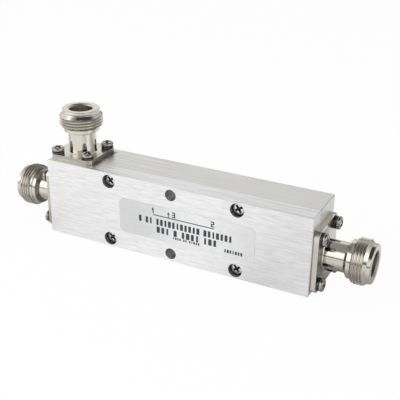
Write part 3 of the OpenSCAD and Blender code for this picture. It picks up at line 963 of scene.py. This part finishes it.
def corner_places(name, screw, height, turns):
    """Places of a flange's four screws or washers in the jack's frame, each turned round its own axis."""
    first, step, jack_step = turns
    half_x, half_y = (pitch / 2 for pitch in flange_pitches(name, screw))
    return [
        Matrix.Translation((x * half_x, y * half_y, height))
        @ Matrix.Rotation(first + step * k + jack_step * JACKS.index(name), 4, "Z")
        for k, (x, y) in enumerate(CORNERS)
    ]


def stroke_outline(start, end, width):
    """The outline of a straight printed line."""
    (x0, y0), (x1, y1) = start, end
    span = hypot(x1 - x0, y1 - y0)
    dx, dy = (x1 - x0) / span * width / 2, (y1 - y0) / span * width / 2
    return [
        (x0 - dx + dy, y0 - dy - dx), (x1 + dx + dy, y1 + dy - dx),
        (x1 + dx - dy, y1 + dy + dx), (x0 - dx - dy, y0 - dy + dx),
    ]


def print_shapes(label):
    """Outlines of the print: a coupler diagram with its port numbers, and plain rows of blocks."""
    line_y, arm_x, arm_y, arrow_w, arrow_l = (part * MM for part in (3, -6.3, 4.3, 0.5, 1.1))
    left, right = (end * MM for end in LINE_ENDS)
    shapes = [
        stroke_outline((left, line_y), (right, line_y), label.stroke * 0.8),
        stroke_outline((arm_x, line_y + 20 * HAIR), (arm_x, arm_y), label.stroke * 0.9),
        [(arm_x - arrow_w, arm_y), (arm_x + arrow_w, arm_y), (arm_x, arm_y + arrow_l)],
    ]
    scale = label.digit / 2
    for digit, place in PORTS.items():
        for k, ends in enumerate(DIGITS[digit]):
            start, end = ((place * MM + x * scale, line_y + 70 * HAIR + y * scale) for x, y in ends)
            # Each stroke is a little thinner than the one before, so that no two share a corner
            shapes.append(stroke_outline(start, end, label.stroke * (1 - 0.02 * k)))
    for left, right, y, size, part, words, first in ROWS:
        height = getattr(label, size) * part
        step = (right - left) * MM / (sum(words) + WORD_GAP * (len(words) - 1))
        x = left * MM + step / 2
        for word in words:
            for k in range(word):
                width = step * BLOCKS[(first + k) % len(BLOCKS)]
                block = rounded_rectangle(width, height, 0.2 * min(width, height), 2)
                shapes.append([(px + x, py + y * MM) for px, py in block])
                x += step
            x += WORD_GAP * step
            first += 3
    return shapes


# Operators


class COUPLER_OT_bar(bpy.types.Operator):
    """Finish the housing and the front cover of the bar"""

    bl_idname = "coupler.bar"
    bl_label = "Bar"

    def execute(self, context):
        settings = context.scene.coupler
        dress("cover", brushed_cover("brushed_cover", settings.finish, settings.screw))
        dress("housing", milled_housing("milled_housing", settings.finish))
        return {"FINISHED"}


class COUPLER_OT_jack_shells(bpy.types.Operator):
    """Turn the three jack bodies with their coupling threads"""

    bl_idname = "coupler.jack_shells"
    bl_label = "Jack bodies"

    def execute(self, context):
        settings = context.scene.coupler
        nickel = bright_nickel("bright_nickel", settings.finish, settings.jack)
        for name in JACKS:
            builder = shell_mesh(settings.jack, FLANGE_SIDES[name], flange_pitches(name, settings.screw), name)
            settle(f"{name}_jack_body", builder, nickel, jack_frame(name), f"{name}_shell", sharp=28)
        return {"FINISHED"}


class COUPLER_OT_jack_inserts(bpy.types.Operator):
    """Finish the insulators and the centre contacts in the jacks"""

    bl_idname = "coupler.jack_inserts"
    bl_label = "Jack inserts"

    def execute(self, context):
        finish = context.scene.coupler.finish
        bead = pressed_plastic("bead_plastic", finish.insulator)
        gold = turned_plating("contact_gold", finish.gold, level=0.14)
        for name in JACKS:
            dress(f"{name}_insulator", bead)
            dress(f"{name}_contact", gold)
        return {"FINISHED"}


class COUPLER_OT_screws(bpy.types.Operator):
    """Make the screws of the cover and of the jack flanges"""

    bl_idname = "coupler.screws"
    bl_label = "Screws"

    def execute(self, context):
        settings = context.scene.coupler
        screw, finish = settings.screw, settings.finish
        steel = plated_steel("flange_screw_steel", finish.screw, level=0.1)
        seat = settings.jack.flange_t + screw.washer_t
        for name in JACKS:
            builder = shade_marked_mesh()
            for place in corner_places(name, screw, seat, FLANGE_TURNS):
                screw_mesh(builder, screw, "flange", place)
            settle(f"{name}_flange_screws", builder, steel, jack_frame(name), f"{name}_screws")
        builder = shade_marked_mesh()
        deep = BAR_LOW.y + screw.head_sink + screw.cover_head_h
        rows = (BAR_LOW.z + screw.row_inset, BAR_HIGH.z - screw.row_inset)
        for k, (x, z) in enumerate((x, z) for x in (-1, 1) for z in rows):
            place = Matrix.Translation((x * screw.cover_span / 2, deep, z)) @ FACING_FRONT
            screw_mesh(builder, screw, "cover", place @ Matrix.Rotation(radians(45 - 4 * k), 4, "Z"))
        steel = plated_steel("cover_screw_steel", tint(finish.screw, 1.26), level=0.16)
        settle("cover_cap_screws", builder, steel, Matrix.Identity(4), "cover_screws")
        return {"FINISHED"}


class COUPLER_OT_washers(bpy.types.Operator):
    """Make the split lock washers under the flange screws"""

    bl_idname = "coupler.washers"
    bl_label = "Lock washers"

    def execute(self, context):
        settings = context.scene.coupler
        steel = plated_steel("washer_steel", settings.finish.washer, level=0.2)
        for name in JACKS:
            builder = bmesh.new()
            for place in corner_places(name, settings.screw, settings.jack.flange_t, WASHER_TURNS):
                washer_mesh(builder, settings.screw, place)
            settle(f"{name}_lock_washers", builder, steel, jack_frame(name), f"{name}_washers")
        return {"FINISHED"}


class COUPLER_OT_label(bpy.types.Operator):
    """Lay the foil label and its plain print on the cover"""

    bl_idname = "coupler.label"
    bl_label = "Label"

    def execute(self, context):
        settings = context.scene.coupler
        label, finish = settings.label, settings.finish
        middle, size = middle_of("label"), size_of("label")
        place = Matrix.Translation((middle.x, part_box("label")[1].y, middle.z)) @ FACING_FRONT
        full = rounded_rectangle(size.x, size.z, label.corner)
        inset = rounded_rectangle(size.x - 2 * label.edge, size.z - 2 * label.edge, label.corner - label.edge)
        levels = ((full, 0), (full, label.foil - label.edge), (inset, label.foil))
        builder = bmesh.new()
        solid(builder, [loop(builder, points, height) for points, height in levels])
        settle("label_foil", builder, grey_foil("grey_foil", finish.label), place, "label")
        builder = bmesh.new()
        for points in print_shapes(label):
            solid(builder, [loop(builder, points, height) for height in (label.foil - HAIR, size.y)])
        settle("label_print", builder, black_ink("black_ink", finish.ink), place, None)
        return {"FINISHED"}


class COUPLER_OT_inner_parts(bpy.types.Operator):
    """Finish the lines, the spacers and the load inside the bar"""

    bl_idname = "coupler.inner_parts"
    bl_label = "Inner parts"

    def execute(self, context):
        finish = context.scene.coupler.finish
        brass = turned_plating("line_brass", finish.brass, level=0.22)
        for name in ("main_line", "coupled_line", "load_post"):
            dress(name, brass)
        dress("line_spacers", pressed_plastic("spacer_plastic", finish.insulator))
        dress("load_resistor", pressed_plastic("load_ceramic", finish.ceramic))
        dress("load_caps", plated_steel("cap_steel", finish.washer, level=0.26))
        dress("load_screw", plated_steel("post_screw_steel", finish.screw, level=0.26))
        return {"FINISHED"}


class COUPLER_OT_stage(bpy.types.Operator):
    """Set the floor, the surrounding light, the lamp and the camera"""

    bl_idname = "coupler.stage"
    bl_label = "Stage"

    def execute(self, context):
        scene, stage = context.scene, context.scene.coupler.stage
        self.floor(stage)
        self.surroundings(scene, stage)
        self.lamp(stage)
        self.camera(scene, stage)
        scene.view_settings.view_transform = "Standard"
        return {"FINISHED"}

    def floor(self, stage):
        """White paper. The metal sees it fall off to the right, dark under the jacks and light before the label."""
        material, shade, paper = blank_material("floor_paper")
        plain, glossy = shade.rays()
        white = shade.node("ShaderNodeEmission", {}, {"Color": (1, 1, 1), "Strength": 1.0})
        x, y = (shade.here(name) for name in "XY")
        # For glossy rays only: a painted falloff and a painted darker band to the right, a painted shadow under the
        # jacks and a painted glow before the label
        fall = shade.smooth(x, 0, 0.07)
        under = shade.smooth(abs(x), 0.048, 0.058) * shade.fade(abs(y), 0.008, 0.028) * glossy
        dim = shade.band(x, -0.005, 0.025, 0.04, 0.056) * glossy * 0.4
        glow = shade.band(x, -0.04, -0.012, 0.012, 0.036)
        seen = plain * 0.95 + glossy * (0.32 - fall * 0.14 + glow * 0.36) * (1 - under * 0.8)
        shade.feed(paper.inputs["Base Color"], shade.mix(under * 0.7 + dim, stage.floor, tint(stage.floor, 0.45)))
        shade.feed(paper.inputs["Roughness"], 0.9)
        shade.feed(paper.inputs["Specular IOR Level"], 0.1)
        surface = shade.node("ShaderNodeMixShader", {}, {0: seen, 1: Wire(shade, paper.outputs[0]), 2: white})
        shade.feed(material.node_tree.nodes["Material Output"].inputs["Surface"], surface)
        builder = bmesh.new()
        rings = [ring(builder, 64, radius, 0) for radius in FLOOR_RINGS]
        skin(builder, rings)
        builder.faces.new(rings[0])
        floor = link("floor", finished_mesh("floor", builder, material))
        floor.location.z = FLOOR_Z

    def surroundings(self, scene, stage):
        """White to the camera and to glass; a white room with dark cards and windows to metal; even to the rest."""
        scene.world = bpy.data.worlds.new("studio")
        scene.world.use_nodes = True
        shade = Shade(scene.world.node_tree)
        way = shade.node("ShaderNodeTexCoord", out="Generated")
        x, y, z = (shade.axis(way, name) for name in "XYZ")
        turn = x.math("ARCTAN2", x, 0 - y)
        gap = shade.band(x, -0.42, -0.3, -0.15, -0.02)
        ceiling = (0.8 + 0.14 * shade.smooth(x, -0.3, 0) - gap * 0.17) * shade.smooth(z, 0.58, 0.83)
        horizon = (0.4 + 0.45 * shade.smooth(x, -0.5, -0.3)) * shade.fade(abs(z - 0.05), 0.04, 0.09)
        card = 0.4 * shade.smooth(x * 0.5 + y * 0.87, 0.6, 0.88) * shade.smooth(z, 0.08, 0.2)
        room = 0.93 * (1 - ceiling) * (1 - horizon) * (1 - card)
        for turns, heights, bright in WINDOWS:
            room += shade.band(turn, *turns) * shade.band(z, *heights) * bright
        plain, glossy = shade.rays()
        level = plain + glossy * room + (1 - plain - glossy) * stage.sky
        background = scene.world.node_tree.nodes["Background"]
        shade.feed(background.inputs["Color"], (1, 1, 1))
        shade.feed(background.inputs["Strength"], level)

    def lamp(self, stage):
        key = bpy.data.lights.new("key", "AREA")
        key.shape = "RECTANGLE"
        key.size, key.size_y = KEY_SIZE
        key.energy = stage.key_power
        holder = link("key", key)
        away = Vector(KEY_WAY).normalized() * KEY_DISTANCE
        holder.location = Vector(KEY_AIM) + away
        holder.rotation_euler = (-away).to_track_quat("-Z", "Y").to_euler()
        holder.visible_glossy = False

    def camera(self, scene, stage):
        lens = bpy.data.cameras.new("camera")
        lens.sensor_width = SENSOR
        lens.lens = stage.lens
        lens.clip_start = 5 * MM
        scene.camera = link("camera", lens)
        scene.camera.matrix_world = Matrix.Translation(stage.camera)
        for turn, axis in ((stage.azimuth, "Z"), (pi / 2 - stage.elevation, "X"), (stage.roll, "Z")):
            scene.camera.matrix_world @= Matrix.Rotation(turn, 4, axis)


class COUPLER_PT_sidebar(bpy.types.Panel):
    """The coupler's steps and settings"""

    bl_label = "Directional Coupler"
    bl_idname = "COUPLER_PT_sidebar"
    bl_space_type = "VIEW_3D"
    bl_region_type = "UI"
    bl_category = "Coupler"

    def draw(self, context):
        settings = context.scene.coupler
        for operator in OPERATORS:
            self.layout.operator(operator.bl_idname)
        for group in (settings.jack, settings.screw, settings.label, settings.finish, settings.stage):
            column = self.layout.box().column()
            for key in group.__annotations__:
                column.prop(group, key)


GROUPS = (
    CouplerJackSettings, CouplerScrewSettings, CouplerLabelSettings, CouplerFinishSettings, CouplerStageSettings,
    CouplerSettings,
)
OPERATORS = (
    COUPLER_OT_stage, COUPLER_OT_bar, COUPLER_OT_jack_shells, COUPLER_OT_jack_inserts, COUPLER_OT_screws,
    COUPLER_OT_washers, COUPLER_OT_label, COUPLER_OT_inner_parts,
)
CLASSES = (*GROUPS, *OPERATORS, COUPLER_PT_sidebar)


def register():
    for cls in CLASSES:
        bpy.utils.register_class(cls)
    bpy.types.Scene.coupler = PointerProperty(type=CouplerSettings)


def unregister():
    del bpy.types.Scene.coupler
    for cls in reversed(CLASSES):
        bpy.utils.unregister_class(cls)


def main():
    register()
    for operator in OPERATORS:
        group, name = operator.bl_idname.split(".")
        getattr(getattr(bpy.ops, group), name)()


if __name__ == "__main__":
    main()
